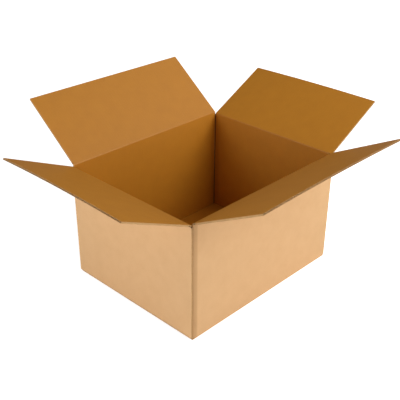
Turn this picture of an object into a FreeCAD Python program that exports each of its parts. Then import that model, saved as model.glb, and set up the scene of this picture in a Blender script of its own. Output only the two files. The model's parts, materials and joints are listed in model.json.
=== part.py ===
"""An open slotted carton: one sheet of corrugated board, folded and glued at one corner, and its four top flaps.

Millimetres, +Z up. The origin is the centre of the base, on the surface that the carton stands on. X runs along the
long walls and Y along the end walls. The front wall faces -Y and the left end wall faces -X. The flaps are modelled
open, at the angles that they are left at.
"""
import FreeCAD, Part
import math
import os

V = FreeCAD.Vector

# The board, and the space that the closed carton encloses
board = 4.0
inside_length = 500.0
inside_width = 400.0
inside_height = 285.0

# The board's section as its cut edges show it: face papers, flutes, and how deep each edge is open between the papers
liner = 0.5
flute_pitch = 7.7
flute_web = 0.6
flute_end_depth = 3.0
side_groove_depth = 1.0

# Flaps: the end pair's length, and the gap left where the long pairs meet over the middle
end_flap_length = 200.0
top_seam = 1.0
bottom_seam = 0.4

# How far each top flap leans above the horizontal, outwards
front_flap_lean = 27.5
rear_flap_lean = 38.0
left_flap_lean = 24.5
right_flap_lean = 27.5

# Slots beside the flaps: the flap's own clearance, the slot's spare width, and how far a slot runs past the creases
flap_side_clearance = 1.0
slot_side_gap = 0.4
slot_run_past = 1.5

# Creases: the fold line stands this far outside the board, and each mitred edge keeps back from the other
crease_offset = 0.15
mitre_relief = 0.2
stack_gap = 0.3
glue_line = 0.3
corner_score = 0.5

# The glued corner joint: the lap's width and end taper, and how far the lap is pressed in
lap_width = 35.0
lap_taper = 10.0
lap_end_gap = 3.0
lap_press = 0.3

# The joint seen from outside: the end wall's cut edge steps back, and the fold to the lap is wider than a full crease
cut_edge_step = 1.0
joint_fold_spread = 3.0

half_length = inside_length / 2 + board
half_width = inside_width / 2 + board
long_flap_half = inside_length / 2 - flap_side_clearance
end_flap_half = inside_width / 2 - flap_side_clearance
floor_level = 2 * board + glue_line
end_crease = floor_level + inside_height + board + crease_offset
long_crease = end_crease + board + stack_gap
wall_low = floor_level + board
wall_high = end_crease - 2 * board
post_low = floor_level - slot_run_past
post_high = end_crease - slot_run_past
long_flap_reach = half_width + crease_offset - top_seam / 2
end_flap_reach = end_flap_length + crease_offset


def outline(points):
    """Closed face through (y, z) points at X = 0. A point given with a third value, a middle (y, z), ends an arc."""
    edges = []
    for here, there in zip(points, points[1:] + points[:1]):
        start = V(0, here[0], here[1])
        end = V(0, there[0], there[1])
        if len(there) == 3:
            middle = V(0, there[2][0], there[2][1])
            edges.append(Part.Arc(start, middle, end).toShape())
        else:
            edges.append(Part.LineSegment(start, end).toShape())
    return Part.Face(Part.Wire(edges))


def drawn_out(face, half_span):
    """The face at X = 0 drawn out along X by half_span to each side."""
    face.translate(V(-half_span, 0, 0))
    return face.extrude(V(2 * half_span, 0, 0))


def turned(shape, quarter_turns):
    """A front piece turned about +Z to its own side: 0 front, 1 right, 2 rear, 3 left."""
    shape.rotate(V(0, 0, 0), V(0, 0, 1), 90 * quarter_turns)
    return shape


def block(low, high):
    """A box from one corner to the other."""
    return Part.makeBox(high[0] - low[0], high[1] - low[1], high[2] - low[2], V(*low))


def prism(corners, run):
    """The flat outline through the corners, drawn out along run."""
    return Part.Face(Part.makePolygon(corners + corners[:1])).extrude(run)


def glued_corner(plan, low, high):
    """The plan with its front left corner as a glued joint: a wide fold to the lap beside the end wall's cut edge."""
    fold_run = board + joint_fold_spread
    centre_x = -half_length + board - lap_press + fold_run
    centre_y = -half_width + board
    cell = block(
        (-half_length - board, -half_width - board, low - board),
        (centre_x, centre_y, high + board),
    )
    fold = Part.Ellipse(V(centre_x, centre_y, low), fold_run, board).toShape()
    fold = Part.Face(Part.Wire(fold)).extrude(V(0, 0, high - low))
    cut_y = -half_width + cut_edge_step
    cut_edge = block((-half_length, cut_y, low), (-half_length + board, centre_y, high))
    groove = block(
        (-half_length + liner, cut_y - board, low),
        (-half_length + board - liner, cut_y + side_groove_depth, high),
    )
    return plan.cut(cell).fuse(fold).fuse(cut_edge.cut(groove))


def filled_plan(low, high):
    """The carton's plan as a solid: three corners fold round the board, the fourth is the glued joint."""
    plan = block((-half_length, -half_width, low), (half_length, half_width, high))
    folded = [
        edge
        for edge in plan.Edges
        if abs(edge.Vertexes[0].Z - edge.Vertexes[1].Z) > (high - low) / 2
        and not (edge.Vertexes[0].X < 0 and edge.Vertexes[0].Y < 0)
    ]
    return glued_corner(plan.makeFillet(board, folded), low, high)


def hollow_plan(low, high):
    """The space inside the walls, with the scores that are pressed into its three folded corners."""
    x = inside_length / 2
    y = inside_width / 2
    hollow = block((-x, -y, low), (x, y, high))
    scores = []
    for corner_x, corner_y in ((x, -y), (x, y), (-x, y)):
        corners = [
            V(corner_x - corner_score, corner_y, low),
            V(corner_x, corner_y - corner_score, low),
            V(corner_x + corner_score, corner_y, low),
            V(corner_x, corner_y + corner_score, low),
        ]
        scores.append(prism(corners, V(0, 0, high - low)))
    return hollow.fuse(scores)


def wall_top(half_depth, crease, half_span):
    """The top of the front wall, mitred down from the fold line at its outer face to its inner face."""
    outer_top = crease - crease_offset - mitre_relief
    points = [
        (-half_depth, wall_high),
        (-half_depth, outer_top),
        (-half_depth + board, outer_top - board),
        (-half_depth + board, wall_high),
    ]
    return drawn_out(outline(points), half_span)


def bottom_fold(half_depth, level, half_span, reach):
    """The foot of the front wall and the bottom flap that it folds into, whose underside is at level."""
    bend = board * (1 - math.cos(math.radians(45)))
    points = [
        (-half_depth, wall_low),
        (-half_depth, level + board),
        (-half_depth + board, level, (-half_depth + bend, level + bend)),
        (-half_depth + reach, level),
        (-half_depth + reach, level + board),
        (-half_depth + board, level + board),
        (-half_depth + board, wall_low),
    ]
    return drawn_out(outline(points), half_span)


def glue_lap():
    """The lap inside the left end wall, narrowing to its free edge so that it clears the end flaps."""
    outer = -half_length + board - lap_press
    root = -half_width + board
    low = floor_level + lap_end_gap
    high = end_crease - crease_offset - board - lap_end_gap
    corners = [
        V(outer, root, low),
        V(outer, root + lap_width, low + lap_taper),
        V(outer, root + lap_width, high - lap_taper),
        V(outer, root, high),
    ]
    return prism(corners, V(board, 0, 0))


def corner_posts(tube):
    """What stands at the four corners between the slots: the folded corners, and the glued one."""
    cell_x = long_flap_half + slot_side_gap
    cell_y = end_flap_half + slot_side_gap
    posts = []
    for side_x in (-1, 1):
        for side_y in (-1, 1):
            xs = sorted((side_x * cell_x, side_x * (half_length + board)))
            ys = sorted((side_y * cell_y, side_y * (half_width + board)))
            posts.append(tube.common(block((xs[0], ys[0], post_low), (xs[1], ys[1], post_high))))
    return posts


def carton_body():
    """Four walls, the glue lap and the closed bottom flaps, as one folded sheet."""
    filled = filled_plan(-board, long_crease + board)
    tube = filled.cut(hollow_plan(-2 * board, long_crease + 2 * board))
    band = block(
        (-half_length - board, -half_width - board, wall_low),
        (half_length + board, half_width + board, wall_high),
    )
    long_half = long_flap_half + slot_side_gap
    end_half = end_flap_half + slot_side_gap
    pieces = corner_posts(tube) + [glue_lap()]
    for side in (0, 2):
        top = turned(wall_top(half_width, long_crease, long_half), side)
        foot = turned(bottom_fold(half_width, 0.0, long_half, half_width - bottom_seam / 2), side)
        pieces += [top.common(tube), foot.common(filled)]
    for side in (1, 3):
        top = turned(wall_top(half_length, end_crease, end_half), side)
        foot = turned(bottom_fold(half_length, board + glue_line, end_half, end_flap_length), side)
        pieces += [top.common(tube), foot.common(filled)]
    return tube.common(band).fuse(pieces).removeSplitter()


def flute_ends(half_span, tip, underside):
    """The flutes' open ends along a flat flap's free edge: pockets that stand and hang in turn, a web apart."""
    low = underside + liner
    high = underside + board - liner
    half_pitch = flute_pitch / 2
    room = 2 * (half_span - side_groove_depth - flute_web)
    count = int(room / half_pitch) - 1
    pockets = []
    for i in range(count):
        middle = (i - (count - 1) / 2) * half_pitch
        half_base = half_pitch - flute_web
        base, apex = (low, high) if i % 2 == 0 else (high, low)
        corners = [
            V(middle - half_base, tip - flute_end_depth, base),
            V(middle + half_base, tip - flute_end_depth, base),
            V(middle, tip - flute_end_depth, apex),
        ]
        pockets.append(prism(corners, V(0, 2 * flute_end_depth, 0)))
    return pockets


def side_grooves(half_span, tip, root, underside):
    """The open grooves between the papers along a flat flap's two side edges, which are cut along the flutes."""
    low = underside + liner
    high = underside + board - liner
    grooves = []
    for side in (-1, 1):
        xs = sorted((side * (half_span - side_groove_depth), side * (half_span + board)))
        grooves.append(block((xs[0], tip - board, low), (xs[1], root + board, high)))
    return grooves


def top_flap(half_depth, crease, half_span, reach, lean, quarter_turns):
    """A top flap, its root mitred at the fold line, turned up by its lean from lying straight out."""
    axis_y = -half_depth - crease_offset
    outer = crease + crease_offset
    root = axis_y - crease_offset - mitre_relief
    tip = axis_y - reach
    points = [
        (root, outer),
        (root - board, outer + board),
        (tip, outer + board),
        (tip, outer),
    ]
    flap = drawn_out(outline(points), half_span)
    flap = flap.cut(flute_ends(half_span, tip, outer) + side_grooves(half_span, tip, root, outer))
    flap.rotate(V(0, axis_y, crease), V(1, 0, 0), -lean)
    return turned(flap, quarter_turns)


def long_flap(lean, quarter_turns):
    """A flap of the long walls."""
    return top_flap(half_width, long_crease, long_flap_half, long_flap_reach, lean, quarter_turns)


def end_flap(lean, quarter_turns):
    """A flap of the end walls."""
    return top_flap(half_length, end_crease, end_flap_half, end_flap_reach, lean, quarter_turns)


def main():
    os.makedirs("parts", exist_ok=True)
    nodes = {
        "carton_body": carton_body(),
        "front_flap": long_flap(front_flap_lean, 0),
        "right_end_flap": end_flap(right_flap_lean, 1),
        "rear_flap": long_flap(rear_flap_lean, 2),
        "left_end_flap": end_flap(left_flap_lean, 3),
    }
    for name, shape in nodes.items():
        solids = shape.Solids
        if len(solids) != 1 or not shape.isValid():
            raise ValueError(f"{name}: {len(solids)} solids, valid {shape.isValid()}")
        solids[0].exportStep(f"parts/{name}.step")
        box = solids[0].BoundBox
        print(f"{name}: volume {solids[0].Volume / 1e6:.4f} l, X {box.XMin:.2f} to {box.XMax:.2f},"
              f" Y {box.YMin:.2f} to {box.YMax:.2f}, Z {box.ZMin:.2f} to {box.ZMax:.2f}")


main()
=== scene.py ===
"""An open corrugated carton, dressed as the real board: two liners on a fluted medium, bent at soft creases.

Metres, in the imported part's own frame: +Z up, the origin at the centre of the base, the front wall at -Y and the left
end wall at -X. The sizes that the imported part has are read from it. Only what the board is made of is stated here.
"""
import json
import logging
import math
from dataclasses import dataclass, field
from enum import Enum

import bmesh
import bpy
from mathutils import Matrix, Vector


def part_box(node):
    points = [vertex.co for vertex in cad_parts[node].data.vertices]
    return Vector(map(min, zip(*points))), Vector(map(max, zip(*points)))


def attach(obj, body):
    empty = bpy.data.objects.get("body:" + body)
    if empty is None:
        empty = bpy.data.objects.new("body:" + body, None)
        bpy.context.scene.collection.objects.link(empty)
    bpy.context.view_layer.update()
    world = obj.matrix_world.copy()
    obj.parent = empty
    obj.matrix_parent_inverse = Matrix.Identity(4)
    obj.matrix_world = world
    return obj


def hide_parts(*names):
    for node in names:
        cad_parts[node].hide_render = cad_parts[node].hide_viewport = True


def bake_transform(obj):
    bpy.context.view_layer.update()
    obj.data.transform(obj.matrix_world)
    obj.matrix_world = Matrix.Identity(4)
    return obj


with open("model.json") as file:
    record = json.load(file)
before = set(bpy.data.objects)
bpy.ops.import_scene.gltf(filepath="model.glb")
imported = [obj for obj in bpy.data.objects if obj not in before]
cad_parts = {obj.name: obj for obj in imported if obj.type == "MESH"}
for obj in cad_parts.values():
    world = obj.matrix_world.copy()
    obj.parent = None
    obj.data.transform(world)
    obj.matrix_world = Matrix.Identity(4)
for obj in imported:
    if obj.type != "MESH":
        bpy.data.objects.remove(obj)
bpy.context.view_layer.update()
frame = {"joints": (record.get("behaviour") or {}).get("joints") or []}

log = logging.getLogger("carton")
UP = Vector((0.0, 0.0, 1.0))
SHEET_MAP = "sheet"
# The vertex layer that says how much painted shade each place along a fold takes, from 0 to 1.
FOLD_SHADE_LAYER = "fold"
SHARP_FROM = math.radians(40.0)
TOUCHING = 1e-6
ROUNDING = 1e-9


class Face(Enum):
    """The two faces of the board."""

    OUTER = "outer"
    INNER = "inner"


def placed(name: str, data: bpy.types.ID) -> bpy.types.Object:
    """A new object of the scene, at the origin."""
    made = bpy.data.objects.new(name, data)
    bpy.context.scene.collection.objects.link(made)
    return made


def plain_mesh(piece: bpy.types.Object) -> bpy.types.Mesh:
    """A piece's mesh as its modifiers leave it."""
    bpy.context.view_layer.update()
    return bpy.data.meshes.new_from_object(piece.evaluated_get(bpy.context.evaluated_depsgraph_get()))


@dataclass(frozen=True)
class Board:
    """The corrugated board, its papers and its flutes."""

    thickness: float = 0.0040
    liner: float = 0.00045
    medium: float = 0.00028
    pitch: float = 0.0077
    steps_per_flute: int = 12
    crease_offset: float = 0.00015
    mitre_relief: float = 0.0002

    @property
    def swing(self) -> float:
        """How far the medium's middle line swings to each side."""
        return (self.thickness - 2 * self.liner - self.medium) / 2

    @property
    def root(self) -> float:
        """How far a mitred edge keeps from the fold line, at the outer face."""
        return self.crease_offset + self.mitre_relief

    def depth_of(self, face: Face) -> float:
        """Depth of a face below the outer one."""
        return 0.0 if face is Face.OUTER else self.thickness


BOARD = Board()


@dataclass(frozen=True)
class Side:
    """One side of the carton: its wall, its crease and its top flap.

    Args:
        name: The flap's CAD node.
        joint: The crease's joint name.
        hinge: The middle of the fold line.
        out: Horizontal direction out of the wall.
        lean: How far the flap leans above the horizontal, in radians.
        half_flap: Half the flap's length along the crease.
        reach: From the fold line to the flap's free edge.
        bow: How far the middle of the free edge stands up from a straight line.
    """

    name: str
    joint: str
    hinge: Vector
    out: Vector
    lean: float
    half_flap: float
    reach: float
    bow: float

    @classmethod
    def from_frame(cls, name: str, bow: float) -> "Side":
        """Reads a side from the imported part.

        Args:
            name: The flap's CAD node, which is also its body.
            bow: How far the middle of the free edge stands up.

        Returns:
            The side.
        """
        row = next(j for j in frame["joints"] if j["child"] == name)
        hinge = Vector(row["pos_m"])
        out = Vector(row["axis"]).cross(UP) * -1.0
        lean = math.radians(180.0 - row["range_deg"][1])
        low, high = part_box(name)
        along = UP.cross(out)
        outermost = max((corner - hinge).dot(out) for corner in (low, high))
        half = max(abs((corner - hinge).dot(along)) for corner in (low, high))
        reach = (outermost + BOARD.crease_offset * math.sin(lean)) / math.cos(lean)
        return cls(name, row["name"], hinge, out, lean, half, reach, bow)

    @property
    def along(self) -> Vector:
        """Horizontal direction along the wall, to the left of the outward one seen from above."""
        return UP.cross(self.out)

    @property
    def flap_way(self) -> Vector:
        """Direction from the fold line to the flap's free edge."""
        return self.out * math.cos(self.lean) + UP * math.sin(self.lean)

    @property
    def flap_up(self) -> Vector:
        """Direction out of the flap's inner face."""
        return UP * math.cos(self.lean) - self.out * math.sin(self.lean)

    @property
    def half_depth(self) -> float:
        """From the carton's middle to the wall's outer face."""
        return abs(self.hinge.dot(self.out)) - BOARD.crease_offset

    def wall_point(self, s: float, depth: float, z: float) -> Vector:
        """The point s along the wall, depth inside its outer face and z above the floor."""
        return self.along * s + self.out * (self.half_depth - depth) + UP * z

    def flap_point(self, s: float, t: float, height: float) -> Vector:
        """The point s along the crease, t out from it and height above the flap's outer plane, with the flap's bow.

        The board stays straight along its flutes, so the bow grows evenly from the crease to the free edge.
        """
        lift = self.bow * (1.0 - (s / self.half_flap) ** 2) * t / self.reach
        return self.hinge + self.along * s + self.flap_way * t + self.flap_up * (height + lift)


@dataclass(frozen=True)
class Kraft:
    """A paper's finish.

    Args:
        name: The material's name.
        light: Its lighter colour, linear.
        dark: Its darker colour, linear.
        folded: Its colour painted along a fold as the fold's shade, linear.
        mottle: Size of its clouds.
        fibre: Size of its fibres.
        roughness: Its middle roughness.
        gloss: Its specular level.
        washboard: Height of the flutes that show through it.
        grain: Height of its fibres.
        by_sheet: True where the pattern follows the folded sheet, False where it follows the piece.
    """

    name: str
    light: tuple[float, float, float]
    dark: tuple[float, float, float]
    folded: tuple[float, float, float]
    mottle: float = 0.035
    fibre: float = 0.0011
    roughness: float = 0.78
    gloss: float = 0.25
    washboard: float = 0.00004
    grain: float = 0.00003
    by_sheet: bool = True

    def material(self, groups: "PaperGroups") -> bpy.types.Material:
        """Builds the material.

        Args:
            groups: The shader node groups that the papers share.

        Returns:
            The material.
        """
        material = bpy.data.materials.new(self.name)
        material.use_nodes = True
        nodes, links = material.node_tree.nodes, material.node_tree.links
        shader = nodes["Principled BSDF"]
        shader.inputs["Specular IOR Level"].default_value = self.gloss
        if self.by_sheet:
            place = nodes.new("ShaderNodeUVMap")
            place.uv_map = SHEET_MAP
            where = place.outputs["UV"]
        else:
            where = nodes.new("ShaderNodeTexCoord").outputs["Object"]
        paper = nodes.new("ShaderNodeGroup")
        paper.node_tree = groups.paper
        links.new(where, paper.inputs["Place"])
        values = {
            "Light": (*self.light, 1.0),
            "Dark": (*self.dark, 1.0),
            "Folded": (*self.folded, 1.0),
            "Mottle Size": self.mottle,
            "Fibre Size": self.fibre,
            "Roughness": self.roughness,
        }
        for label, value in values.items():
            paper.inputs[label].default_value = value
        # The fold layer carries the painted shade along folds.
        fold = nodes.new("ShaderNodeAttribute")
        fold.attribute_name = FOLD_SHADE_LAYER
        links.new(fold.outputs["Fac"], paper.inputs["Fold"])
        links.new(paper.outputs["Color"], shader.inputs["Base Color"])
        links.new(paper.outputs["Roughness"], shader.inputs["Roughness"])
        bump = nodes.new("ShaderNodeBump")
        bump.inputs["Strength"].default_value = 1.0
        bump.inputs["Distance"].default_value = 1.0
        relief = nodes.new("ShaderNodeGroup")
        relief.node_tree = groups.relief
        links.new(where, relief.inputs["Place"])
        links.new(paper.outputs["Fibre"], relief.inputs["Fibre"])
        relief.inputs["Grain"].default_value = self.grain
        relief.inputs["Washboard"].default_value = self.washboard if self.by_sheet else 0.0
        relief.inputs["Pitch"].default_value = BOARD.pitch
        links.new(relief.outputs["Height"], bump.inputs["Height"])
        links.new(bump.outputs["Normal"], shader.inputs["Normal"])
        return material


def math_node(tree: bpy.types.NodeTree, operation: str, *values: object) -> bpy.types.NodeSocket:
    """A Math node of either kind of tree, fed by sockets or numbers.

    Args:
        tree: The tree.
        operation: The Math node's operation.
        values: Sockets or numbers, in order.

    Returns:
        Its output socket.
    """
    node = tree.nodes.new("ShaderNodeMath")
    node.operation = operation
    for socket, value in zip(node.inputs, values):
        if isinstance(value, bpy.types.NodeSocket):
            tree.links.new(value, socket)
        else:
            socket.default_value = value
    return node.outputs[0]


class PaperGroups:
    """The shader node groups that every paper of the board shares. Each share is a factor and what is added to it."""

    CLOUD_DETAIL, CLOUD_ROUGHNESS, FIBRE_DETAIL = 4.0, 0.55, 3.0
    FIBRE_STRETCH = (0.22, 1.0, 1.0)
    CLOUD_SHARE, FIBRE_SHARE, ROUGH_SHARE = (1.5, -0.25), (0.9, -0.45), (0.2, -0.1)

    def __init__(self) -> None:
        """Builds both groups."""
        self.paper = self._paper()
        self.relief = self._relief()

    @staticmethod
    def _group(name: str, inputs: dict[str, str], outputs: dict[str, str]) -> bpy.types.NodeTree:
        """An empty shader group with its sockets and its two end nodes.

        Args:
            name: The group's name.
            inputs: Socket types by name.
            outputs: Socket types by name.

        Returns:
            The group.
        """
        tree = bpy.data.node_groups.new(name, "ShaderNodeTree")
        for in_out, sockets in (("INPUT", inputs), ("OUTPUT", outputs)):
            for label, kind in sockets.items():
                tree.interface.new_socket(label, in_out=in_out, socket_type=kind)
        tree.nodes.new("NodeGroupInput")
        tree.nodes.new("NodeGroupOutput")
        return tree

    @staticmethod
    def _mix(
        tree: bpy.types.NodeTree, share: bpy.types.NodeSocket, a: bpy.types.NodeSocket, b: bpy.types.NodeSocket
    ) -> bpy.types.NodeSocket:
        """A colour that goes from a to b by a share.

        Args:
            tree: The group.
            share: The share, held between 0 and 1.
            a: The first colour.
            b: The second colour.

        Returns:
            The colour's socket.
        """
        node = tree.nodes.new("ShaderNodeMix")
        node.data_type = "RGBA"
        node.clamp_factor = True
        sockets = {s.identifier: s for s in node.inputs}
        tree.links.new(share, sockets["Factor_Float"])
        tree.links.new(a, sockets["A_Color"])
        tree.links.new(b, sockets["B_Color"])
        return next(s for s in node.outputs if s.identifier == "Result_Color")

    def _paper(self) -> bpy.types.NodeTree:
        """Colour, roughness and fibres of kraft paper: soft clouds, short level fibres and small dark specks, with
        painted shade mixed in along folds.
        """
        tree = self._group(
            "kraft_paper",
            {"Place": "NodeSocketVector", "Light": "NodeSocketColor", "Dark": "NodeSocketColor",
             "Folded": "NodeSocketColor", "Fold": "NodeSocketFloat", "Mottle Size": "NodeSocketFloat",
             "Fibre Size": "NodeSocketFloat", "Roughness": "NodeSocketFloat"},
            {"Color": "NodeSocketColor", "Roughness": "NodeSocketFloat", "Fibre": "NodeSocketFloat"},
        )
        nodes, links = tree.nodes, tree.links
        given, made = nodes["Group Input"], nodes["Group Output"]
        clouds = nodes.new("ShaderNodeTexNoise")
        clouds.inputs["Detail"].default_value = self.CLOUD_DETAIL
        clouds.inputs["Roughness"].default_value = self.CLOUD_ROUGHNESS
        links.new(given.outputs["Place"], clouds.inputs["Vector"])
        links.new(math_node(tree, "DIVIDE", 1.0, given.outputs["Mottle Size"]), clouds.inputs["Scale"])
        stretch = nodes.new("ShaderNodeMapping")
        stretch.inputs["Scale"].default_value = self.FIBRE_STRETCH
        links.new(given.outputs["Place"], stretch.inputs["Vector"])
        fibres = nodes.new("ShaderNodeTexNoise")
        fibres.inputs["Detail"].default_value = self.FIBRE_DETAIL
        links.new(stretch.outputs["Vector"], fibres.inputs["Vector"])
        links.new(math_node(tree, "DIVIDE", 1.0, given.outputs["Fibre Size"]), fibres.inputs["Scale"])
        cloud_part = math_node(tree, "MULTIPLY_ADD", clouds.outputs["Fac"], *self.CLOUD_SHARE)
        fibre_part = math_node(tree, "MULTIPLY_ADD", fibres.outputs["Fac"], *self.FIBRE_SHARE)
        share = math_node(tree, "ADD", cloud_part, fibre_part)
        plain = self._mix(tree, share, given.outputs["Light"], given.outputs["Dark"])
        # Painted shade: the fold layer's share mixes in the paper's shade colour along folds.
        links.new(self._mix(tree, given.outputs["Fold"], plain, given.outputs["Folded"]), made.inputs["Color"])
        rough = math_node(tree, "MULTIPLY_ADD", fibres.outputs["Fac"], *self.ROUGH_SHARE)
        links.new(math_node(tree, "ADD", given.outputs["Roughness"], rough), made.inputs["Roughness"])
        links.new(fibres.outputs["Fac"], made.inputs["Fibre"])
        return tree

    def _relief(self) -> bpy.types.NodeTree:
        """Height of the paper: its fibres, and the flutes that show through it as a faint washboard."""
        tree = self._group(
            "paper_relief",
            {"Place": "NodeSocketVector", "Fibre": "NodeSocketFloat", "Grain": "NodeSocketFloat",
             "Washboard": "NodeSocketFloat", "Pitch": "NodeSocketFloat"},
            {"Height": "NodeSocketFloat"},
        )
        nodes, links = tree.nodes, tree.links
        given, made = nodes["Group Input"], nodes["Group Output"]
        split = nodes.new("ShaderNodeSeparateXYZ")
        links.new(given.outputs["Place"], split.inputs["Vector"])
        turns = math_node(tree, "DIVIDE", split.outputs["X"], given.outputs["Pitch"])
        wave = math_node(tree, "COSINE", math_node(tree, "MULTIPLY", turns, math.tau))
        ridges = math_node(tree, "MULTIPLY", wave, given.outputs["Washboard"])
        grain = math_node(tree, "MULTIPLY", given.outputs["Fibre"], given.outputs["Grain"])
        links.new(math_node(tree, "ADD", ridges, grain), made.inputs["Height"])
        return tree


# Each paper's folded colour is painted shade along its folds: beside the fold to the lap outside, and in the folded
# corners' creases inside.
OUTER_KRAFT = Kraft(
    "outer_kraft_liner", light=(0.70, 0.440, 0.222), dark=(0.65, 0.393, 0.192), folded=(0.34, 0.165, 0.050)
)
# The inner liner is darker and a deeper brown than the outer one: partly its own paper, partly painted shade of the
# carton's inside.
INNER_KRAFT = Kraft(
    "inner_kraft_liner", light=(0.555, 0.217, 0.006), dark=(0.505, 0.189, 0.004), folded=(0.13, 0.040, 0.003),
    roughness=0.58, gloss=0.6
)
# On raw paper that painted fold shade is its own darker colour.
RAW_KRAFT = Kraft(
    "raw_cut_paper", light=(0.58, 0.360, 0.170), dark=(0.46, 0.270, 0.110), folded=(0.46, 0.270, 0.110),
    mottle=0.006, roughness=0.9, gloss=0.1, by_sheet=False
)


@dataclass
class Papers:
    """The board's materials."""

    outer: bpy.types.Material
    inner: bpy.types.Material
    raw: bpy.types.Material

    @classmethod
    def make(cls) -> "Papers":
        """Builds the materials on their shared groups."""
        groups = PaperGroups()
        return cls(OUTER_KRAFT.material(groups), INNER_KRAFT.material(groups), RAW_KRAFT.material(groups))

    def liner(self, face: Face) -> bpy.types.Material:
        """The paper on a face."""
        return self.outer if face is Face.OUTER else self.inner


@dataclass
class SheetMesh:
    """A folded sheet gathered from rectangular patches, each with its place on the flat blank.

    Args:
        name: The piece's name.
    """

    name: str
    made: bmesh.types.BMesh = field(default_factory=bmesh.new)

    def __post_init__(self) -> None:
        """Adds the layers that its patches fill."""
        self.place = self.made.loops.layers.uv.new(SHEET_MAP)
        self.fold = self.made.verts.layers.float.new(FOLD_SHADE_LAYER)

    def add(
        self,
        points: list[list[Vector]],
        flat: list[list[tuple[float, float]]],
        flip: bool = False,
        folds: list[float] | None = None,
    ) -> None:
        """Adds one patch.

        Args:
            points: Rows of points.
            flat: Rows of places on the flat blank.
            flip: True to turn its faces over.
            folds: How much painted fold shade each column takes, from 0 to 1.
        """
        verts = [[self.made.verts.new(p) for p in row] for row in points]
        # Each vertex keeps its column's share of painted fold shade.
        for row in verts:
            for vert, share in zip(row, folds or []):
                vert[self.fold] = share
        for r in range(len(points) - 1):
            for c in range(len(points[0]) - 1):
                ring = [(r, c), (r, c + 1), (r + 1, c + 1), (r + 1, c)]
                if flip:
                    ring.reverse()
                face = self.made.faces.new([verts[i][j] for i, j in ring])
                face.smooth = True
                for loop, (i, j) in zip(face.loops, ring):
                    loop[self.place].uv = flat[i][j]

    def finish(self, materials: list[bpy.types.Material]) -> bpy.types.Object:
        """Joins the patches and makes the object.

        Args:
            materials: The piece's materials, slot by slot.

        Returns:
            The object, in the scene.
        """
        bmesh.ops.remove_doubles(self.made, verts=self.made.verts, dist=TOUCHING)
        mesh = bpy.data.meshes.new(self.name)
        self.made.to_mesh(mesh)
        self.made.free()
        for material in materials:
            mesh.materials.append(material)
        return placed(self.name, mesh)


def thicken(piece: bpy.types.Object, thickness: float) -> None:
    """Gives a sheet the paper's thickness behind the side that shows, as a plain mesh with raw paper on back and rim.

    Args:
        piece: The sheet.
        thickness: The paper's thickness.
    """
    solid = piece.modifiers.new("paper", "SOLIDIFY")
    solid.thickness = thickness
    solid.offset = -1.0
    solid.use_even_offset = True
    solid.material_offset = 1
    solid.material_offset_rim = 1
    plain = plain_mesh(piece)
    piece.modifiers.clear()
    piece.data = plain
    plain.set_sharp_from_angle(angle=SHARP_FROM)


def spread(low: float, high: float, step: float) -> list[float]:
    """Evenly spaced values from low to high, no further apart than step."""
    count = max(1, math.ceil((high - low) / step))
    return [low + (high - low) * i / count for i in range(count + 1)]


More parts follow.
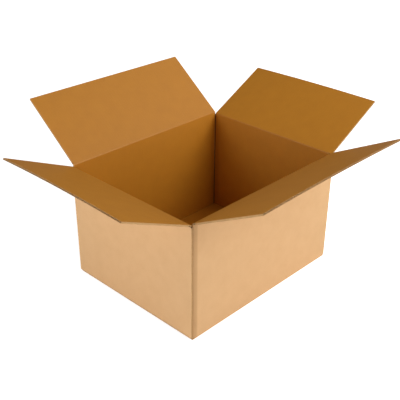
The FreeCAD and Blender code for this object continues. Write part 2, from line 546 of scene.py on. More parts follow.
class Fluting:
    """The fluted medium, made by one Geometry Nodes tree that swings a guide line and runs it along the flutes."""

    INPUTS = {
        "Pitch": "NodeSocketFloat",
        "Swing": "NodeSocketFloat",
        "Paper": "NodeSocketFloat",
        "Steps": "NodeSocketInt",
        "Run": "NodeSocketVector",
        "Finish": "NodeSocketMaterial",
    }

    def __init__(self, material: bpy.types.Material) -> None:
        """Builds the tree.

        Args:
            material: The medium's paper.
        """
        self.material = material
        self.tree = self._tree()

    def _node(self, kind: str, **given: object) -> bpy.types.Node:
        """A node of the tree, with its inputs linked to sockets or set to values.

        Args:
            kind: The node's type.
            given: Properties in lower case, and inputs with their spaces as underscores and a capital.

        Returns:
            The node.
        """
        node = self.tree.nodes.new(kind)
        for key, value in given.items():
            if key[0].islower():
                setattr(node, key, value)
                continue
            socket = node.inputs[key.replace("_", " ")]
            if isinstance(value, bpy.types.NodeSocket):
                self.tree.links.new(value, socket)
            else:
                socket.default_value = value
        return node

    def _vector(self, operation: str, a: bpy.types.NodeSocket, b: bpy.types.NodeSocket | None = None,
                scale: bpy.types.NodeSocket | None = None) -> bpy.types.NodeSocket:
        """A Vector Math node's output."""
        node = self.tree.nodes.new("ShaderNodeVectorMath")
        node.operation = operation
        self.tree.links.new(a, node.inputs[0])
        if b is not None:
            self.tree.links.new(b, node.inputs[1])
        if scale is not None:
            self.tree.links.new(scale, node.inputs["Scale"])
        return node.outputs["Vector"]

    def _tree(self) -> bpy.types.NodeTree:
        """The tree: a guide swung as a sine, run along the flutes and given the paper's thickness."""
        self.tree = bpy.data.node_groups.new("fluted_medium", "GeometryNodeTree")
        self.tree.interface.new_socket("Geometry", in_out="INPUT", socket_type="NodeSocketGeometry")
        for label, kind in self.INPUTS.items():
            self.tree.interface.new_socket(label, in_out="INPUT", socket_type=kind)
        self.tree.interface.new_socket("Geometry", in_out="OUTPUT", socket_type="NodeSocketGeometry")
        given = self.tree.nodes.new("NodeGroupInput").outputs
        made = self.tree.nodes.new("NodeGroupOutput")
        guide = self._node("GeometryNodeMeshToCurve", Mesh=given["Geometry"])
        spacing = math_node(self.tree, "DIVIDE", given["Pitch"], given["Steps"])
        line = self._node("GeometryNodeResampleCurve", mode="LENGTH", Curve=guide.outputs["Curve"], Length=spacing)
        length = self.tree.nodes.new("GeometryNodeSplineParameter").outputs["Length"]
        tangent = self.tree.nodes.new("GeometryNodeInputTangent").outputs["Tangent"]
        across = self._vector("NORMALIZE", self._vector("CROSS_PRODUCT", tangent, given["Run"]))
        turns = math_node(self.tree, "MULTIPLY", math_node(self.tree, "DIVIDE", length, given["Pitch"]), math.tau)
        wave = math_node(self.tree, "MULTIPLY", math_node(self.tree, "SINE", turns), given["Swing"])
        half_paper = math_node(self.tree, "MULTIPLY", given["Paper"], 0.5)
        offset = self._vector("SCALE", across, scale=math_node(self.tree, "SUBTRACT", wave, half_paper))
        waved = self._node("GeometryNodeSetPosition", Geometry=line.outputs["Curve"], Offset=offset)
        edges = self._node("GeometryNodeCurveToMesh", Curve=waved.outputs["Geometry"])
        web = self._node("GeometryNodeExtrudeMesh", mode="EDGES", Mesh=edges.outputs["Mesh"], Offset=given["Run"],
                         Offset_Scale=1.0)
        back = self._node("GeometryNodeFlipFaces", Mesh=web.outputs["Mesh"])
        front = self._node("GeometryNodeExtrudeMesh", mode="FACES", Individual=False, Mesh=web.outputs["Mesh"],
                           Offset_Scale=given["Paper"])
        both = self.tree.nodes.new("GeometryNodeJoinGeometry")
        self.tree.links.new(back.outputs["Mesh"], both.inputs["Geometry"])
        self.tree.links.new(front.outputs["Mesh"], both.inputs["Geometry"])
        closed = self._node("GeometryNodeMergeByDistance", Geometry=both.outputs["Geometry"], Distance=TOUCHING)
        smooth = self._node("GeometryNodeSetShadeSmooth", Geometry=closed.outputs["Geometry"], Shade_Smooth=True)
        real = self._node("GeometryNodeRealizeInstances", Geometry=smooth.outputs["Geometry"])
        dressed = self._node("GeometryNodeSetMaterial", Geometry=real.outputs["Geometry"], Material=given["Finish"])
        self.tree.links.new(dressed.outputs["Geometry"], made.inputs["Geometry"])
        return self.tree

    def along(self, guide: list[Vector], run: Vector) -> bpy.types.Mesh:
        """Makes the medium along one guide line.

        Args:
            guide: Points of a line across the flutes, in the middle of the board.
            run: From the guide along the flutes to their other end.

        Returns:
            The medium's plain mesh.
        """
        mesh = bpy.data.meshes.new("guide")
        mesh.from_pydata([tuple(p) for p in guide], [(i, i + 1) for i in range(len(guide) - 1)], [])
        holder = placed("guide", mesh)
        flutes = holder.modifiers.new("flutes", "NODES")
        flutes.node_group = self.tree
        values = {
            "Pitch": BOARD.pitch,
            "Swing": BOARD.swing,
            "Paper": BOARD.medium,
            "Steps": BOARD.steps_per_flute,
            "Run": tuple(run),
            "Finish": self.material,
        }
        for item in self.tree.interface.items_tree:
            if item.item_type == "SOCKET" and item.in_out == "INPUT" and item.name in values:
                flutes[item.identifier] = values[item.name]
        plain = plain_mesh(holder)
        bpy.data.objects.remove(holder)
        return plain

    @staticmethod
    def closed_edge(corner: Vector, across: Vector, run: Vector, inward: Vector) -> bpy.types.Mesh:
        """The paper web that closes an edge cut along the flutes, between the liners.

        Args:
            corner: One corner of the web, against a liner.
            across: From there to the other liner.
            run: From there along the flutes.
            inward: The way into the board, of length 1.

        Returns:
            Its mesh.
        """
        depth = inward * BOARD.medium
        low = [corner, corner + depth, corner + depth + across, corner + across]
        mesh = bpy.data.meshes.new("closed_edge")
        walls = [(i, (i + 1) % 4, (i + 1) % 4 + 4, i + 4) for i in range(4)]
        mesh.from_pydata([tuple(p) for p in low + [p + run for p in low]], [], [*walls, (3, 2, 1, 0), (4, 5, 6, 7)])
        return mesh

    def piece(self, name: str, parts: list[bpy.types.Mesh]) -> bpy.types.Object:
        """Joins the medium's stretches into one piece.

        Args:
            name: The piece's name.
            parts: The stretches' meshes.

        Returns:
            The object, in the scene.
        """
        joined = bmesh.new()
        for part in parts:
            joined.from_mesh(part)
        bmesh.ops.recalc_face_normals(joined, faces=joined.faces)
        mesh = bpy.data.meshes.new(name)
        joined.to_mesh(mesh)
        joined.free()
        mesh.materials.append(self.material)
        return placed(name, mesh)


@dataclass
class TopFlap:
    """A top flap and its crease.

    Args:
        side: The side that it stands on.
        papers: The board's materials.
        fluting: The maker of its medium.
        cut_back: How far the medium stands back from the free edge.
        step: The liners' largest cell.
        ripple: How far the crushed flutes ripple the crease.
    """

    side: Side
    papers: Papers
    fluting: Fluting
    cut_back: float = 0.0003
    step: float = 0.0125
    ripple: float = 0.00008
    ripple_steps: int = 6
    bend_steps: int = 18

    def liner(self, face: Face) -> bpy.types.Object:
        """One liner of the flap, from its mitred root to its free edge.

        Args:
            face: Which liner.

        Returns:
            The piece.
        """
        height = BOARD.crease_offset + BOARD.depth_of(face)
        root = BOARD.root + BOARD.depth_of(face)
        across = spread(-self.side.half_flap, self.side.half_flap, self.step)
        outward = spread(root, self.side.reach, self.step)
        points = [[self.side.flap_point(s, t, height) for s in across] for t in outward]
        flat = [[(s, t) for s in across] for t in outward]
        sheet = SheetMesh(f"{self.side.name}_{face.value}_liner")
        sheet.add(points, flat, flip=face is Face.INNER)
        piece = sheet.finish([self.papers.liner(face), self.papers.raw])
        thicken(piece, BOARD.liner)
        if face is Face.OUTER:
            back = height + BOARD.liner / 2
            for vert in piece.data.vertices:
                place = vert.co - self.side.hinge
                if place.dot(self.side.flap_way) < root + BOARD.medium and place.dot(self.side.flap_up) > back:
                    vert.co += self.side.flap_way * BOARD.liner
        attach(piece, self.side.name)
        return piece

    def medium(self) -> bpy.types.Object:
        """The fluted medium between the liners, bowed with them."""
        side = self.side
        middle = BOARD.crease_offset + BOARD.thickness / 2
        near = BOARD.root + BOARD.thickness
        far = side.reach - self.cut_back
        edge = side.half_flap - self.cut_back
        ends = [side.hinge + side.along * s + side.flap_way * far + side.flap_up * middle for s in (-edge, edge)]
        mesh = self.fluting.along(ends, side.flap_way * (near - far))
        for vert in mesh.vertices:
            s = (vert.co - side.hinge).dot(side.along)
            t = (vert.co - side.hinge).dot(side.flap_way)
            vert.co += side.flap_up * (side.bow * (1.0 - (s / side.half_flap) ** 2) * t / side.reach)
        height = side.flap_up * (BOARD.thickness - 2 * BOARD.liner)
        low = side.hinge + side.flap_up * (BOARD.crease_offset + BOARD.liner) + side.flap_way * near
        webs = [
            self.fluting.closed_edge(low + side.along * s * edge, height, side.flap_way * (far - near), side.along * -s)
            for s in (1, -1)
        ]
        piece = self.fluting.piece(f"{side.name}_fluting", [mesh, *webs])
        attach(piece, side.name)
        return piece

    def section(self, ripple: float) -> list[tuple[float, float, int]]:
        """The crease's section about the fold line.

        Args:
            ripple: How far this section's bend stands out.

        Returns:
            Points as (out, up, material slot of the face that starts there), round from the wall's outer edge.
        """
        lean = self.side.lean
        way = (math.cos(lean), math.sin(lean))
        up = (-math.sin(lean), math.cos(lean))
        gap, deep = BOARD.crease_offset, BOARD.crease_offset + BOARD.thickness
        near, far = BOARD.root, BOARD.root + BOARD.thickness
        points = [(-gap, -near, 2), (-deep, -far, 0)]
        for i in range(self.bend_steps + 1):
            turn = (math.pi / 2 - lean) * i / self.bend_steps
            radius = deep + ripple * math.sin(math.pi * i / self.bend_steps)
            points.append((-radius * math.cos(turn), radius * math.sin(turn), 0))
        points.append((far * way[0] + deep * up[0], far * way[1] + deep * up[1], 2))
        points.append((near * way[0] + gap * up[0], near * way[1] + gap * up[1], 1))
        return points

    def crease(self) -> bpy.types.Object:
        """The bend between the wall and the flap, a closed strip."""
        side = self.side
        made = bmesh.new()
        place = made.loops.layers.uv.new(SHEET_MAP)
        stations = spread(-side.half_flap, side.half_flap, BOARD.pitch / self.ripple_steps)
        rings, kinds, drawn = [], [], []
        for s in stations:
            section = self.section(self.ripple * math.cos(math.tau * s / BOARD.pitch))
            rings.append([made.verts.new(side.hinge + side.along * s + side.out * o + UP * z) for o, z, _ in section])
            kinds = [kind for _, _, kind in section]
            drawn = [0.0]
            for here, there in zip(section, section[1:]):
                drawn.append(drawn[-1] + math.dist(here[:2], there[:2]))
        count = len(kinds)
        for here, there, s, s_next in zip(rings, rings[1:], stations, stations[1:]):
            for i in range(count):
                j = (i + 1) % count
                face = made.faces.new((here[i], there[i], there[j], here[j]))
                face.material_index = kinds[i]
                face.smooth = kinds[i] == 0
                ends = ((s, drawn[i]), (s_next, drawn[i]), (s_next, drawn[j]), (s, drawn[j]))
                for loop, flat in zip(face.loops, ends):
                    loop[place].uv = flat
        for ring in (rings[0][::-1], rings[-1]):
            face = made.faces.new(ring)
            face.material_index = 2
        bmesh.ops.recalc_face_normals(made, faces=made.faces)
        for edge in made.edges:
            edge.smooth = len({face.material_index for face in edge.link_faces}) == 1
        mesh = bpy.data.meshes.new(side.joint)
        made.to_mesh(mesh)
        made.free()
        for material in (self.papers.inner, self.papers.outer, self.papers.raw):
            mesh.materials.append(material)
        piece = placed(side.joint, mesh)
        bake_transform(piece)
        return piece

    def build(self) -> None:
        """Builds the flap's pieces and has them stand for its CAD node."""
        outer = self.liner(Face.OUTER)
        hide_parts(self.side.name)
        for piece in (outer, self.liner(Face.INNER), self.medium(), self.crease()):
            log.info("%s: %d faces", piece.name, len(piece.data.polygons))


@dataclass
class CartonShell:
    """The four walls, the glued corner and the closed bottom, as one folded sheet.

    Args:
        sides: Front, right, rear and left, the way round that the blank is folded.
        papers: The board's materials.
        fluting: The maker of its medium.
        joint_fold_spread: How much wider the fold to the lap is than the board.
        score_reach: How far a folded corner's score reaches along each inner face.
        score_depth: How deep it is pressed in there.
        joint_shade_width: How far the band of painted shade reaches past the fold to the lap.
        joint_shade_strength: How strong that painted shade is at the fold.
    """

    sides: list[Side]
    papers: Papers
    fluting: Fluting
    slot_gap: float = 0.0004
    slot_run_past: float = 0.0015
    stack_gap: float = 0.0003
    bottom_seam: float = 0.0004
    lap_width: float = 0.035
    lap_taper: float = 0.010
    lap_step: float = 0.012
    lap_end_gap: float = 0.003
    cut_edge_step: float = 0.001
    joint_fold_spread: float = 0.003
    inner_flap_length: float = 0.200
    score_reach: float = 0.002
    score_depth: float = 0.0012
    # Painted shade beside the fold to the lap: the band's width, and its strength at the fold.
    joint_shade_width: float = 0.008
    joint_shade_strength: float = 0.42
    bend_steps: int = 8
    step: float = 0.025
    cut_back: float = 0.0003

    @property
    def floor_level(self) -> float:
        """Height of the carton's floor, on both layers of bottom flaps."""
        return 2 * BOARD.thickness + self.stack_gap

    @property
    def end_crease(self) -> float:
        """Height of the end flaps' fold lines."""
        return self.sides[1].hinge.z

    @property
    def post_low(self) -> float:
        """Height of the bottom slots' ends."""
        return self.floor_level - self.slot_run_past

    @property
    def post_high(self) -> float:
        """Height of the top slots' ends."""
        return self.end_crease - self.slot_run_past

    @property
    def lap_low(self) -> float:
        """Height of the lap's lower end at its root."""
        return self.floor_level + self.lap_end_gap

    @property
    def lap_high(self) -> float:
        """Height of the lap's upper end at its root."""
        return self.end_crease - BOARD.crease_offset - BOARD.thickness - self.lap_end_gap

    @property
    def levels(self) -> list[float]:
        """Heights that every wall and corner shares, so that they join edge to edge."""
        mitre = self.end_crease - BOARD.root - BOARD.thickness
        middle = spread(self.lap_low, self.lap_high, self.step)
        return [self.post_low, self.floor_level, *middle, mitre, self.post_high]

    def is_end(self, side: Side) -> bool:
        """True for an end wall."""
        return abs(side.out.x) > 0.5

    def slot_at(self, side: Side) -> float:
        """From the wall's middle to the edge of the slot beside its flap."""
        return side.half_flap + self.slot_gap

    def fold_at(self, side: Side) -> float:
        """From the wall's middle to the inner corner."""
        neighbour = self.sides[0] if self.is_end(side) else self.sides[1]
        return neighbour.half_depth - BOARD.thickness

    @property
    def lap_face(self) -> float:
        """Place along the front wall where the lap's inner face stands."""
        return -self.sides[3].half_depth + 2 * BOARD.thickness

    @property
    def fold_run(self) -> float:
        """How far along the front wall its outer face turns in to the lap."""
        return BOARD.thickness + self.joint_fold_spread

    @property
    def joint_fold(self) -> float:
        """Place along the front wall where its outer face begins to turn in to the lap."""
        return self.lap_face + self.joint_fold_spread

    def wall_rows(self, side: Side, face: Face) -> list[tuple[float, float, float]]:
        """The wall's profile from its bottom flap's free edge to its mitred top.

        Args:
            side: The wall.
            face: Which liner.

        Returns:
            Points as (depth inside the outer face, height, place along the sheet).
        """
        board = BOARD.thickness
        level = board + self.stack_gap if self.is_end(side) else 0.0
        reach = self.inner_flap_length if self.is_end(side) else side.half_depth - self.bottom_seam / 2
        top = side.hinge.z - BOARD.root - BOARD.depth_of(face)
        rows = []
        if face is Face.OUTER:
            quarter = board * math.pi / 2
            rows += [(d, level, level + board - quarter - (d - board)) for d in spread(board, reach, self.step)[::-1]]
            for i in range(1, self.bend_steps + 1):
                turn = math.pi / 2 * i / self.bend_steps
                depth = board * (1 - math.sin(turn))
                rows.append((depth, level + board * (1 - math.cos(turn)), level + board - quarter + board * turn))
            lowest = level + board
        else:
            lowest = level + board
            rows += [(d, lowest, lowest - (d - board)) for d in spread(board, reach, self.step)[::-1]]
        rows += [(BOARD.depth_of(face), z, z) for z in self.levels if lowest + TOUCHING < z < top - TOUCHING]
        rows.append((BOARD.depth_of(face), top, top))
        return rows

    def wall_stations(self, side: Side, face: Face) -> list[tuple[float, float]]:
        """Places along a wall, each with how far its face is set back there.

        Args:
            side: The wall.
            face: Which liner.

        Returns:
            Points as (place along the wall, set-back).
        """
        slot, fold = self.slot_at(side), self.fold_at(side)
        flat = fold - self.score_reach
        low, high = -flat, flat
        front = side is self.sides[0]
        if front:
            low = self.joint_fold if face is Face.OUTER else self.lap_face
        # Stations that shape the band of painted shade beside the lap's fold.
        shaded_band = []
        if front and face is Face.OUTER:
            shaded_band = [low, low + self.joint_shade_width / 2]
            low += self.joint_shade_width
        stations = [(s, 0.0) for s in shaded_band + spread(low, high, self.step)]
        if face is Face.OUTER:
            if front:
                turned = spread(-slot, self.joint_fold, (self.joint_fold + slot) / self.bend_steps)[:-1]
                stations = [(s, self.fold_drop(self.joint_fold - s)) for s in turned] + stations
            else:
                stations.insert(0, (-slot, 0.0))
            stations.append((slot, 0.0))
        else:
            pushed = -self.score_depth * (slot - flat) / self.score_reach
            if not front:
                stations.insert(0, (-slot, pushed))
            stations.append((slot, pushed))
        return stations

    def painted_fold_shade(self, side: Side, face: Face, s: float) -> float:
        """How much painted shade a place along a wall takes: the band beside the fold to the lap outside, and a folded
        corner's score inside.

        Args:
            side: The wall.
            face: Which liner.
            s: The place.

        Returns:
            From 0 to 1.
        """
        # Painted shade inside: it grows across the score to full at each folded corner.
        if face is Face.INNER:
            return min(1.0, max(0.0, (abs(s) - self.fold_at(side) + self.score_reach) / self.score_reach))
        # Painted shade outside: only on the front wall, a band that fades past the fold to the lap.
        if side is not self.sides[0]:
            return 0.0
        past = (s - self.joint_fold) / self.joint_shade_width
        return self.joint_shade_strength * min(1.0, max(0.0, 1.0 - past * past)) if past < 1.0 else 0.0

    def fold_drop(self, past: float) -> float:
        """How far the lap's fold has turned in, a distance past its beginning."""
        return BOARD.thickness * (1 - math.sqrt(max(0.0, 1 - (past / self.fold_run) ** 2)))

    def wall(self, sheet: SheetMesh, side: Side, face: Face, start: float) -> None:
        """Adds a wall with its bottom flap to a liner.

        Args:
            sheet: The liner.
            side: The wall.
            face: Which liner.
            start: The wall's middle on the flat blank.
        """
        rows, stations = self.wall_rows(side, face), self.wall_stations(side, face)
        # How much painted fold shade each station takes.
        folds = [self.painted_fold_shade(side, face, s) for s, _ in stations]
        points, flat = [], []
        for depth, z, v in rows:
            standing = depth <= BOARD.depth_of(face) + ROUNDING
            mitred = z == rows[-1][1]
            line = []
            for s, back in stations:
                height = z - max(0.0, back) if mitred else z
                line.append(side.wall_point(s, depth + back if standing else max(depth, back), height))
            points.append(line)
            flat.append([(start + s, v) for s, _ in stations])
        sheet.add(points, flat, flip=face is Face.INNER, folds=folds)

    def corner_line(self, here: Side, there: Side, face: Face) -> list[Vector]:
        """The plan of a folded corner, from one slot's edge round to the next.

        Args:
            here: The wall before the corner.
            there: The wall after it.
            face: Which liner.

        Returns:
            Points at height 0.
        """
        board = BOARD.thickness
        first, last = self.slot_at(here), -self.slot_at(there)
        inner = self.fold_at(here)
        if face is Face.INNER:
            flat = self.fold_at(here) - self.score_reach
            start = board - self.score_depth * (first - flat) / self.score_reach
            flat = self.fold_at(there) - self.score_reach
            end = board - self.score_depth * (-last - flat) / self.score_reach
            deepest = here.wall_point(inner + self.score_depth, board - self.score_depth, 0.0)
            return [here.wall_point(first, start, 0.0), deepest, there.wall_point(last, end, 0.0)]
        points = [here.wall_point(first, 0.0, 0.0)]
        for i in range(self.bend_steps + 1):
            turn = math.pi / 2 * i / self.bend_steps
            points.append(here.wall_point(inner + board * math.sin(turn), board * (1 - math.cos(turn)), 0.0))
        points.append(there.wall_point(last, 0.0, 0.0))
        return points

    def joint_line(self, face: Face) -> list[Vector]:
        """The plan of the front wall's fold to the lap, from the lap's root to the front slot's edge."""
        board = BOARD.thickness
        front = self.sides[0]
        if face is Face.INNER:
            return [front.wall_point(self.lap_face, board, 0.0)]
        points = []
        last = math.asin(min(1.0, (self.slot_at(front) + self.joint_fold) / self.fold_run))
        for i in range(self.bend_steps + 1):
            turn = math.pi / 2 + (last - math.pi / 2) * i / self.bend_steps
            s = self.joint_fold - self.fold_run * math.sin(turn)
            points.append(front.wall_point(s, board * (1 - math.cos(turn)), 0.0))
        return points

    def posts(self, sheet: SheetMesh, face: Face, starts: list[float]) -> None:
        """Adds the corners between the slots to a liner: three folded ones, and the two sides of the glued one."""
        lines = []
        for i in range(3):
            here, there = self.sides[i], self.sides[i + 1]
            line = self.corner_line(here, there, face)
            # Painted shade inside the folded corners, full at the crease.
            share = self.painted_fold_shade(here, face, self.slot_at(here))
            folds = [share, 1.0, share] if face is Face.INNER else [0.0] * len(line)
            lines.append((line, starts[i] + self.slot_at(here), folds))
        left = self.sides[3]
        edge = self.slot_at(left)
        cut = self.fold_at(left) + BOARD.thickness - self.cut_edge_step
        depth = BOARD.depth_of(face)
        ends = [left.wall_point(edge, depth, 0.0), left.wall_point(cut, depth, 0.0)]
        lines.append((ends, starts[3] + edge, [self.painted_fold_shade(left, face, edge), 0.0]))
        joint = self.joint_line(face)
        if len(joint) > 1:
            run = sum((a - b).length for a, b in zip(joint, joint[1:]))
            # Painted shade on the fold to the lap: full at the lap's root, down to the band's strength at the wall.
            folds = [1.0 + (self.joint_shade_strength - 1.0) * i / (len(joint) - 1) for i in range(len(joint))]
            lines.append((joint, starts[0] - self.slot_at(self.sides[0]) - run, folds))
        for line, u, folds in lines:
            along = [u]
            for a, b in zip(line, line[1:]):
                along.append(along[-1] + (b - a).length)
            points = [[p + UP * z for p in line] for z in self.levels]
            flat = [[(w, z) for w in along] for z in self.levels]
            sheet.add(points, flat, flip=face is Face.INNER, folds=folds)

    def lap(self, sheet: SheetMesh, face: Face, starts: list[float]) -> None:
        """Adds the lap inside the left end wall to a liner, narrowing to its free edge."""
        front = self.sides[0]
        board = BOARD.thickness
        s = self.lap_face - (board if face is Face.OUTER else 0.0)
        low, high = self.lap_low, self.lap_high
        levels = [z for z in self.levels if low - TOUCHING <= z <= high + TOUCHING]
        columns = spread(0.0, self.lap_width, self.lap_step)[::-1]
        points, flat = [], []
        for z in levels:
            share = (z - low) / (high - low)
            line, place = [], []
            for out in columns:
                taper = self.lap_taper * out / self.lap_width
                height = low + taper + share * (high - low - 2 * taper)
                line.append(front.wall_point(s, board + out, height))
                place.append((starts[0] + self.lap_face - out, height))
            points.append(line)
            flat.append(place)
        sheet.add(points, flat, flip=face is Face.INNER)

    def liner(self, face: Face) -> bpy.types.Object:
        """One liner of the shell.

        Args:
            face: Which liner.

        Returns:
            The piece.
        """
        starts = [0.0]
        for here, there in zip(self.sides, self.sides[1:]):
            starts.append(starts[-1] + self.fold_at(here) + self.fold_at(there) + BOARD.thickness)
        sheet = SheetMesh(f"carton_{face.value}_liner")
        for side, start in zip(self.sides, starts):
            self.wall(sheet, side, face, start)
        self.posts(sheet, face, starts)
        self.lap(sheet, face, starts)
        piece = sheet.finish([self.papers.liner(face), self.papers.raw])
        thicken(piece, BOARD.liner)
        if face is Face.OUTER:
            for side in self.sides:
                self.mitre_top(piece.data, side)
        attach(piece, "carton")
        return piece

    def mitre_top(self, liner: bpy.types.Mesh, side: Side) -> None:
        """Cuts the back of the outer liner's top edge down at 45 degrees, so that the closed flap's liner clears it.

        Args:
            liner: The outer liner.
            side: The wall.
        """
        top = side.hinge.z - BOARD.root
        for vert in liner.vertices:
            back = side.half_depth - vert.co.dot(side.out)
            over = abs(vert.co.dot(side.along)) < self.slot_at(side) + BOARD.medium
            if over and back < 2 * BOARD.thickness and vert.co.z + back > top + BOARD.medium / 2:
                vert.co.z -= BOARD.liner

    def wall_guide(self) -> list[Vector]:
        """The medium's line round the walls, half-way through the board, at height 0."""
        half = BOARD.thickness / 2
        front, left = self.sides[0], self.sides[3]
        points = []
        for i in range(self.bend_steps + 1):
            turn = math.pi / 2 * (1 - i / self.bend_steps)
            back = BOARD.thickness - half * math.cos(turn)
            eased = self.joint_fold_spread / 2 * (1 - math.sin(turn))
            points.append(front.wall_point(self.lap_face - half * math.sin(turn) + eased, back, 0.0))
        for here, _ in zip(self.sides, self.sides[1:]):
            inner = self.fold_at(here)
            for i in range(self.bend_steps + 1):
                turn = math.pi / 2 * i / self.bend_steps
                back = BOARD.thickness - half * math.cos(turn)
                points.append(here.wall_point(inner + half * math.sin(turn), back, 0.0))
        cut = self.fold_at(left) + BOARD.thickness - self.cut_edge_step - self.cut_back
        points.append(left.wall_point(cut, half, 0.0))
        return points

    def medium(self) -> bpy.types.Object:
        """The fluted medium of the walls, the lap and the bottom flaps."""
        half = BOARD.thickness / 2
        front = self.sides[0]
        low, high = self.post_low + self.cut_back, self.post_high - self.cut_back
        parts = [self.fluting.along([p + UP * low for p in self.wall_guide()], UP * (high - low))]
        lap_line = [
            front.wall_point(self.lap_face - half, BOARD.thickness + out, self.lap_low + self.lap_taper)
            for out in (self.lap_width - self.cut_back, 0.0)
        ]
        parts.append(self.fluting.along(lap_line, UP * (self.lap_high - self.lap_low - 2 * self.lap_taper)))
        for side in self.sides:
            end = self.is_end(side)
            edge = self.slot_at(side) - self.cut_back
            level = (BOARD.thickness + self.stack_gap if end else 0.0) + half
            reach = (self.inner_flap_length if end else side.half_depth - self.bottom_seam / 2) - self.cut_back
            tip = [side.wall_point(s, reach, level) for s in (-edge, edge)]
            parts.append(self.fluting.along(tip, side.out * (reach - BOARD.thickness)))
            start = max(-edge, self.joint_fold) if side is front else -edge
            top = side.hinge.z - BOARD.root - half
            line = [side.wall_point(s, half, high) for s in (start, edge)]
            if top - high > BOARD.medium:
                parts.append(self.fluting.along(line, UP * (top - high)))
        left = self.sides[3]
        cut = self.fold_at(left) + BOARD.thickness - self.cut_edge_step - self.cut_back
        corner = left.wall_point(cut, BOARD.liner, low)
        across = left.wall_point(cut, BOARD.thickness - BOARD.liner, low) - corner
        parts.append(self.fluting.closed_edge(corner, across, UP * (high - low), left.along * -1.0))
        piece = self.fluting.piece("carton_fluting", parts)
        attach(piece, "carton")
        return piece

    def build(self) -> None:
        """Builds the shell's pieces and has them stand for its CAD node."""
        outer = self.liner(Face.OUTER)
        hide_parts("carton_body")
        for piece in (outer, self.liner(Face.INNER), self.medium()):
            log.info("%s: %d faces", piece.name, len(piece.data.polygons))


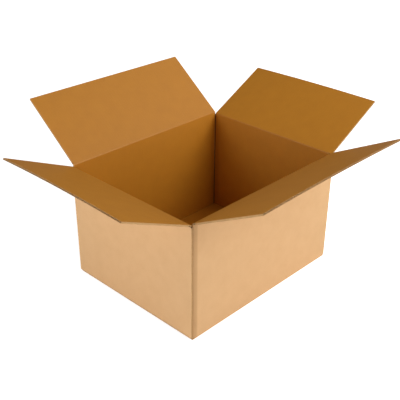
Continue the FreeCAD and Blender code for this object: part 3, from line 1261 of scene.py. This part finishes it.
@dataclass
class Studio:
    """The floor, the light and the camera.

    Args:
        eye: The camera's place.
        heading: Its heading from +X towards +Y, in degrees.
        tilt: How far it looks down, in degrees.
        roll: Its turn about its own line of sight, in degrees.
        focal_pixels: Its focal length in pixels of the picture's frame.
        frame_pixels: The frame's width.
        sky: Strength of the sky's light.
        floor_glow: The floor's own light near the carton, seen by the camera alone.
        floor_fade: Distances between which that light grows to plain white.
        lamps: Name, place, size and power of each lamp.
        aim: Where the lamps point.
    """

    eye: tuple[float, float, float] = (-1.1615, -1.1005, 1.0476)
    heading: float = 43.92
    tilt: float = 28.22
    roll: float = 0.42
    focal_pixels: float = 716.8
    frame_pixels: float = 400.0
    sensor: float = 36.0
    floor_half: float = 9.0
    floor_white: float = 0.9
    sky: float = 0.15
    floor_glow: float = 0.72
    floor_fade: tuple[float, float] = (1.2, 3.0)
    lamps: tuple[tuple[str, tuple[float, float, float], float, float], ...] = (
        ("front_lamp", (0.9, -2.7, 1.4), 2.0, 57.0),
        ("side_lamp", (-2.7, 0.8, 0.9), 1.6, 51.0),
        ("high_lamp", (1.2, -1.8, 2.3), 2.2, 31.0),
        ("right_lamp", (2.3, 0.0, 2.1), 2.0, 7.0),
    )
    aim: tuple[float, float, float] = (0.0, 0.0, 0.2)

    def camera(self) -> None:
        """Places the camera as the picture has it."""
        data = bpy.data.cameras.new("camera")
        data.sensor_width = self.sensor
        data.lens = self.focal_pixels / self.frame_pixels * self.sensor
        made = placed("camera", data)
        heading, tilt, roll = (math.radians(a) for a in (self.heading, self.tilt, self.roll))
        ahead = Vector((math.cos(tilt) * math.cos(heading), math.cos(tilt) * math.sin(heading), -math.sin(tilt)))
        right = Vector((math.sin(heading), -math.cos(heading), 0.0))
        above = right.cross(ahead)
        turned = right * math.cos(roll) + above * math.sin(roll)
        top = above * math.cos(roll) - right * math.sin(roll)
        made.matrix_world = Matrix((turned, top, -ahead)).transposed().to_4x4()
        made.location = self.eye
        bpy.context.scene.camera = made

    def world(self) -> None:
        """A soft white sky that shows as plain white."""
        world = bpy.data.worlds.new("studio")
        world.use_nodes = True
        nodes, links = world.node_tree.nodes, world.node_tree.links
        light = nodes["Background"]
        light.inputs["Color"].default_value = (1.0, 1.0, 1.0, 1.0)
        light.inputs["Strength"].default_value = self.sky
        seen = nodes.new("ShaderNodeBackground")
        seen.inputs["Color"].default_value = (1.0, 1.0, 1.0, 1.0)
        path = nodes.new("ShaderNodeLightPath")
        mix = nodes.new("ShaderNodeMixShader")
        links.new(path.outputs["Is Camera Ray"], mix.inputs[0])
        links.new(light.outputs[0], mix.inputs[1])
        links.new(seen.outputs[0], mix.inputs[2])
        links.new(mix.outputs[0], nodes["World Output"].inputs["Surface"])
        bpy.context.scene.world = world

    def floor(self) -> None:
        """A wide white floor with a glow for the camera alone, so that it shows white and keeps the shadow."""
        half = self.floor_half
        mesh = bpy.data.meshes.new("floor")
        corners = [(-half, -half, 0.0), (half, -half, 0.0), (half, half, 0.0), (-half, half, 0.0)]
        mesh.from_pydata(corners, [], [(0, 1, 2, 3)])
        made = placed("floor", mesh)
        material = bpy.data.materials.new("floor_white")
        material.use_nodes = True
        nodes, links = material.node_tree.nodes, material.node_tree.links
        nodes.remove(nodes["Principled BSDF"])
        matt = nodes.new("ShaderNodeBsdfDiffuse")
        matt.inputs["Color"].default_value = (*[self.floor_white] * 3, 1.0)
        glow = nodes.new("ShaderNodeEmission")
        glow.inputs["Color"].default_value = (1.0, 1.0, 1.0, 1.0)
        path = nodes.new("ShaderNodeLightPath")
        place = nodes.new("ShaderNodeTexCoord")
        away = nodes.new("ShaderNodeVectorMath")
        away.operation = "LENGTH"
        links.new(place.outputs["Object"], away.inputs[0])
        fade = nodes.new("ShaderNodeMapRange")
        links.new(away.outputs["Value"], fade.inputs["Value"])
        for label, value in zip(("From Min", "From Max", "To Min", "To Max"), (*self.floor_fade, self.floor_glow, 1.0)):
            fade.inputs[label].default_value = value
        share = nodes.new("ShaderNodeMath")
        share.operation = "MULTIPLY"
        links.new(path.outputs["Is Camera Ray"], share.inputs[0])
        links.new(fade.outputs["Result"], share.inputs[1])
        links.new(share.outputs[0], glow.inputs["Strength"])
        both = nodes.new("ShaderNodeAddShader")
        links.new(matt.outputs[0], both.inputs[0])
        links.new(glow.outputs[0], both.inputs[1])
        links.new(both.outputs[0], nodes["Material Output"].inputs["Surface"])
        mesh.materials.append(material)

    def light(self) -> None:
        """Large soft lamps round the carton."""
        for name, place, size, power in self.lamps:
            data = bpy.data.lights.new(name, "AREA")
            data.size = size
            data.energy = power
            made = placed(name, data)
            made.location = place
            made.rotation_euler = (Vector(self.aim) - Vector(place)).to_track_quat("-Z", "Y").to_euler()

    def build(self) -> None:
        """Builds all of it."""
        self.camera()
        self.world()
        self.floor()
        self.light()
        bpy.context.scene.view_settings.view_transform = "Standard"


def main() -> None:
    """Builds the carton and its studio."""
    logging.basicConfig(level=logging.INFO, format="%(name)s: %(message)s")
    papers = Papers.make()
    fluting = Fluting(papers.raw)
    bows = {"front_flap": 0.0026, "right_end_flap": 0.003, "rear_flap": 0.0, "left_end_flap": 0.003}
    sides = [Side.from_frame(name, bow) for name, bow in bows.items()]
    CartonShell(sides, papers, fluting).build()
    for side in sides:
        TopFlap(side, papers, fluting).build()
    Studio().build()


if __name__ == "__main__":
    main()
